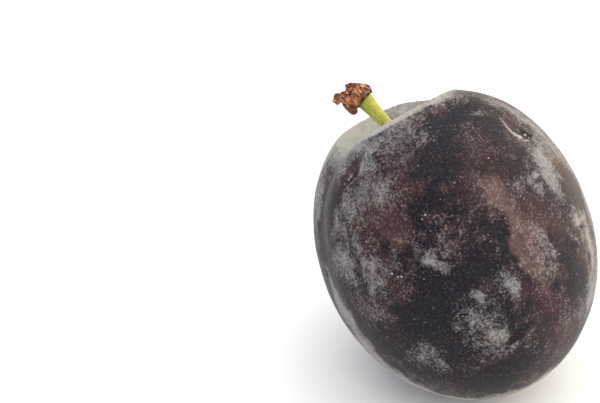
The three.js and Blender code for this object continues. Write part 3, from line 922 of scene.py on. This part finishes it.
def green_stalk():
    """Fresh green rind: satin, thin and a little uneven, browner at the foot."""
    material, node, colour = start_material("Green stalk rind", STALK_COLOURS)
    fibre = node("attribute", attribute_name="fibre").outputs["Vector"]
    share = node("attribute", attribute_name="share").outputs["Fac"]
    streaks = node("noise", fibre, 5.0, 4.0, 0.65)
    flecks = node("noise", node("vector *", fibre, (1.0, 1.0, 5.0)), 3.6, 3.0, 0.7)
    green = layered(node, colour, "streak", (
        ("rind", streaks, 0.35, 0.65, 1.0),
        ("fleck", flecks, 0.5, 0.58, 0.6),
        ("free end", share, 0.7, 1.0, 0.7),
        ("foot", share, 0.12, 0.0, 0.7)))
    bump = node("ShaderNodeBump", named={"Height": streaks, "Strength": 0.4, "Distance": 0.05 * MM})
    end_material(node, Base_Color=green, Roughness=0.5, IOR=1.45, Normal=bump)
    return material


stalk = grow("plum_stalk", stalk_tree(green_stalk()), **STALK)
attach(stalk, "root")
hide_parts("stem")

# %% [markdown]
# ## The bud scales
# When the blossom opened, the bud's brown scales stayed on the stalk. They have dried into a ragged,
# crumpled cap on the stalk's end, with one scale bent away like a hook. Sculpting each one would
# take days. Instead one thin, cupped sheet is placed by a short list, three at each place, round a
# dark core. A noise then pushes both faces of a sheet alike, so the sheets crumple and stay thin.

# %% Places of the scales
# Each place: round, reach, lift, lean, width and length, in degrees and millimetres.
SCALES = [
    (10, 2.8, -0.1, 4, 2.4, 2.7), (52, 2.4, 0.7, 2, 2.2, 2.5), (96, 1.9, 1, 0, 2.3, 2.4),
    (136, 1.9, 0.8, -2, 2.1, 2.4), (176, 1.9, 0.4, 4, 2.2, 2.4), (216, 2, 0.4, -2, 2.1, 2.6),
    (257, 2.1, 0.5, -2, 2.2, 2.6), (297, 2.4, 0.2, 2, 2.2, 2.8), (338, 2.8, 0, 4, 2.3, 2.9),
    (40, 1.6, 1.7, -2, 2, 2.5), (112, 0.9, 1.8, -4, 2, 2.4), (205, 0.9, 1.7, -4, 2, 2.4),
    (296, 1.3, 1.9, -2, 2, 2.4), (4, 3.2, 1.4, 6, 1.3, 2),
]
# The sheets at each place: how far out, twist, how much higher, share of the size, and how red.
SHEETS = [(0.3, -9, -0.15, 0.95, 0.9), (0, 4, 0.1, 1.05, 0.2), (-0.35, 12, 0.3, 0.9, 0.5)]
LEAN_OUT = 10  # degrees that a sheet leans for each millimetre that it stands out
RED_STEP = 0.37  # how much redder each place is than the last, until red starts again from none


def scale_places():
    """A mesh of one point for each sheet, which carries the sheet's turn, size and share of red."""
    points, turns, sizes, reds = [], [], [], []
    for number, (round_, reach, lift, lean, width, length) in enumerate(SCALES):
        for out, twist, higher, share, red in SHEETS:
            a = math.radians(round_ + twist)
            points.append(((reach + out) * math.cos(a), (reach + out) * math.sin(a), lift + higher))
            turns.append((0, math.radians(lean + LEAN_OUT * out), a))
            sizes.append((1.0, width * share, length * share))
            reds.append((red + number * RED_STEP) % 1)
    mesh = bpy.data.meshes.new("scale_places")
    mesh.from_pydata(points, [], [])
    for name, vectors in (("turn", turns), ("size", sizes)):
        layer = mesh.attributes.new(name, "FLOAT_VECTOR", "POINT")
        layer.data.foreach_set("vector", np.array(vectors, np.float32).ravel())
    mesh.attributes.new("red", "FLOAT", "POINT").data.foreach_set("value", reds)
    return mesh


print(len(SCALES) * len(SHEETS), "sheets round the stalk's end")

# %% Sizes of the tuft
TUFT = {  # in millimetres
    "Thickness": 0.2,
    "Curl in": 0.8,
    "Cup": 0.45,
    "Core width": 3.6,
    "Core height": 4.0,
    "Crumple size": 1.3,
    "Crumple depth": 1.6,
    "Wrinkle size": 0.45,
    "Wrinkle depth": 0.5,
}
TUFT_OVER_STALK = 0.5 * MM
CORE_MIDDLE = (0.2, 0, 1.8)
CORE_RED, HOOK_RED = 2.0, (1.5, -0.8)  # from 1.2 up a piece darkens to the core's colour
HOOK_LINE = (1.1, 0, 3.3), (2.2, 0, 4.3), (3.7, 0, 4.5), (3.5, 0, 3.0)  # start, handles and end
HOOK_SECTION = (0.8, 1.1, 1.0)
HOOK_TURN = math.radians(-8)
print("hook reaches", max(x for x, y, z in HOOK_LINE), "mm out")


# %% One sheet, and the hook
def dry_sheet(node, size, here):
    """A flattened ball that stands up along z and curls in. The material is told where its rim is."""
    ball = node("GeometryNodeMeshUVSphere", 30, 20, 1.0)
    x, y, z = node("separate", here).outputs
    rim = node("-", 1.0, node("abs", x))
    ball = node("store", ball, None, "rim", rim)
    up = node("*+", z, 0.5, 0.5)
    curl = node("*", node("*", up, up), size["Curl in"])
    cup = node("*", node("*", y, y), size["Cup"])
    thin = node("*", node("*", size["Thickness"], 0.5), x)
    through = node("-", thin, node("+", curl, cup))
    return node("move", ball, None, node("combine", through, node("*", y, 0.5), up))


def bent_hook(node):
    """A flattened strip along a curve, thin at both ends, and dark where it leaves the core."""
    along = node("GeometryNodeSplineParameter")
    bend = node("GeometryNodeCurvePrimitiveBezierSegment", 32, *HOOK_LINE)
    bend = node("store", bend, None, "red", node("range", along, 0.45, 0.7, *HOOK_RED))
    swell = node("range", along, 0.45, 0.85, 0.45, 1.0)
    taper = node("*", swell, node("range", along, 0.9, 1.0, 1.0, 0.5))
    section = node("GeometryNodeCurvePrimitiveCircle", 20, None, None, None, 0.5)
    section = node("transform", section, None, None, HOOK_SECTION)
    hook = node("GeometryNodeCurveToMesh", bend, section, taper, True)
    return node("transform", hook, None, Euler((0, 0, HOOK_TURN)))


# %% [markdown]
# The sheets are set at their places, the core and the hook join them, and then the lot is crumpled,
# coarsely and after that finely. The fine wrinkles are drawn out along the stalk. How each fold lies is
# kept for the material, which paints shade into the valleys and a highlight onto the crests.

# %% Node tree for the tuft
CRUMPLES = (("Crumple size", "Crumple depth", 1.0), ("Wrinkle size", "Wrinkle depth", 0.45))


def tuft_tree(dry):
    tree, node, size = start_tree("Bud scale tuft", TUFT, "Places")
    here = node("position")
    turn = node("GeometryNodeInputNamedAttribute", "turn", data_type="FLOAT_VECTOR")
    sized = node("GeometryNodeInputNamedAttribute", "size", data_type="FLOAT_VECTOR")
    ring = node("GeometryNodeInstanceOnPoints", size["Places"], None, dry_sheet(node, size, here), None,
                None, node("FunctionNodeEulerToRotation", turn), sized)
    core = node("GeometryNodeMeshUVSphere", 64, 48, 0.5)
    core = node("store", core, None, "red", CORE_RED)
    width = size["Core width"]
    core = node("transform", core, CORE_MIDDLE, None, node("combine", width, width, size["Core height"]))
    tuft = node("GeometryNodeJoinGeometry")
    for part in (node("GeometryNodeRealizeInstances", ring), core, bent_hook(node)):
        tree.links.new(result(part), tuft.inputs[0])

    for spacing, depth, drawn in CRUMPLES:
        pulled = node("vector *", here, (1.0, 1.0, drawn))
        noise = node("noise", pulled, node("/", 1.0, size[spacing]), 1.0, 0.5)
        tuft = node("store", tuft, None, "fold", noise)
        tuft = node("move", tuft, None, None, push(node, noise, size[depth]))
    place = stalk_frame(STALK["Length"] - TUFT_OVER_STALK)
    stood = node("transform", tuft, place.translation, place.to_euler(), (MM, MM, MM))
    end_tree(node, stood, dry)
    print("tuft tree:", len(tree.nodes), "nodes")
    return tree


# %% [markdown]
# Dried scales are papery and matt. Some are ochre and some are red-brown, their thin edges are bleached,
# the valleys of their folds hold painted shade and the crests a painted highlight, and the core behind
# them is dark.

# %% Bud scale material
SCALE_COLOURS = {
    "ochre": "#ab6a26", "red": "#7a301c", "speck": "#471913", "valley_shade": "#35140d",
    # the valley colour is painted shade in the folds, the crest colour a painted highlight on them
    "crest_highlight": "#cfa184", "edge": "#c09d86", "core": "#311713",
}
GRAIN_ALONG = 2.2  # how much longer the patches are along the stalk than across it


def dry_scale():
    """Dead, papery bud scale: matt, ochre to red-brown, with bleached edges."""
    material, node, colour = start_material("Dried bud scale", SCALE_COLOURS)
    rim, red, fold = (node("attribute", attribute_name=name).outputs["Fac"]
                      for name in ("rim", "red", "fold"))
    place = node("mapping", node("ShaderNodeTexCoord").outputs["Object"], None,
                 stalk_frame(0).to_euler(), (1.0, 1.0, GRAIN_ALONG))
    patches = node("noise", place, 1 / (1.1 * MM), 2.0, 0.6)
    specks = node("noise", place, 1 / (0.4 * MM), 3.0, 0.7)
    redder = node("*+", node("+", patches, -0.5), 2.4, red)
    brown = layered(node, colour, "ochre", (
        ("red", redder, 0.2, 0.9, 1.0),
        ("speck", specks, 0.54, 0.38, 0.6),
        # painted shade in the fold valleys and a painted highlight on the crests
        ("valley_shade", fold, 0.53, 0.42, 0.9),
        ("crest_highlight", fold, 0.59, 0.67, 0.75),
        ("edge", rim, 0.75, 0.97, 0.75),
        ("core", red, 1.2, 1.6, 1.0)))
    end_material(node, Base_Color=brown, Roughness=0.5, IOR=1.45, Specular_IOR_Level=0.5)
    return material


tuft = grow("plum_bud_scales", tuft_tree(dry_scale()), start=scale_places(), **TUFT)
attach(tuft, "root")
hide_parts("bud_scales")
